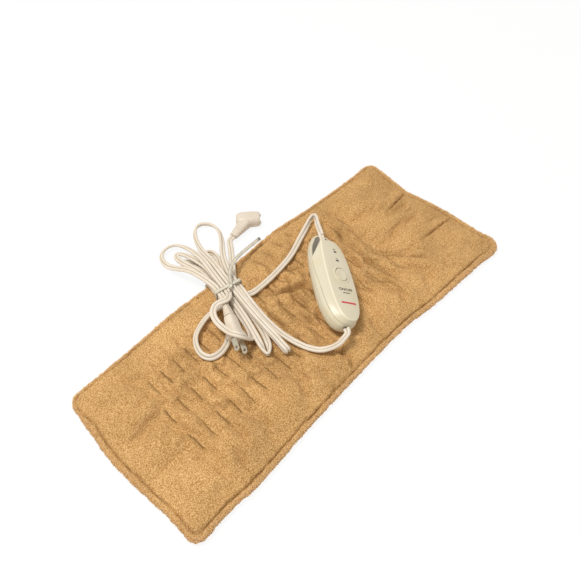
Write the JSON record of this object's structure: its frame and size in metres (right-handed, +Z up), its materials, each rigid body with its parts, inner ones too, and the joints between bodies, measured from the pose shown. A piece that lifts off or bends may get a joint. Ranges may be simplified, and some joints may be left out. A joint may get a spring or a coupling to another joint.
{
  "type": "heating pad with controller",
  "caption": "Quilted plush electric heating pad with a detachable cord set, a rounded push-button hand controller and a tied bundle of flat twin-lead cord with a wall plug.",
  "frame": {"origin": "centre of the box round the pad and controller, on the surface the pad lies on; the cord set is left out", "axes": "+X along the pad's length, +Y across it towards the edge with the power inlet, +Z up"},
  "size_m": [0.4898, 0.2927, 0.0458],
  "materials": {
    "plush": "brushed plush",
    "back_cloth": "brushed plush",
    "felt": "matt",
    "heater_sleeve": "matt",
    "black_moulding": "matt",
    "ivory_case": "satin",
    "cord_vinyl": "satin",
    "circuit_board": "satin",
    "lamp": "gloss",
    "smoked_window": "gloss",
    "plated_steel": "bright",
    "brass": "bright",
    "tie_paper": "matt"
  },
  "bodies": {
    "pad_and_controller": {"connector_contact_1": "brass", "connector_contact_2": "brass", "connector_head": "ivory_case", "connector_strain_relief": "cord_vinyl", "controller_board": "circuit_board", "controller_capacitor": "smoked_window", "controller_fuse": "plated_steel", "controller_gland_mains": "cord_vinyl", "controller_gland_pad": "cord_vinyl", "controller_led_1": "lamp", "controller_led_2": "lamp", "controller_relay": "black_moulding", "controller_screw_1": "plated_steel", "controller_screw_2": "plated_steel", "controller_shell_lower": "ivory_case", "controller_shell_upper": "ivory_case", "controller_switch": "black_moulding", "controller_window_1": "smoked_window", "controller_window_2": "smoked_window", "cord_mains_hank": "cord_vinyl", "cord_mains_run": "cord_vinyl", "cord_pad_lead": "cord_vinyl", "heater_carrier": "felt", "heater_lead": "heater_sleeve", "heater_wire": "heater_sleeve", "inlet_housing": "ivory_case", "inlet_pin_1": "brass", "inlet_pin_2": "brass", "pad_cover_back": "back_cloth", "pad_cover_top": "plush", "plug_blade_1": "plated_steel", "plug_blade_2": "plated_steel", "plug_body": "cord_vinyl", "plug_strain_relief": "cord_vinyl", "thermostat": "black_moulding", "twist_tie": "tie_paper"},
    "power_button": {"controller_button": "ivory_case", "controller_switch_plunger": "black_moulding"}
  },
  "joints": [
    {"name": "power_button_press", "type": "slide", "parent": "pad_and_controller", "child": "power_button", "axis": [-0.3754, 0.2819, -0.8829], "range_m": [0, 0.001], "stiffness_N_per_m": 900}
  ]
}
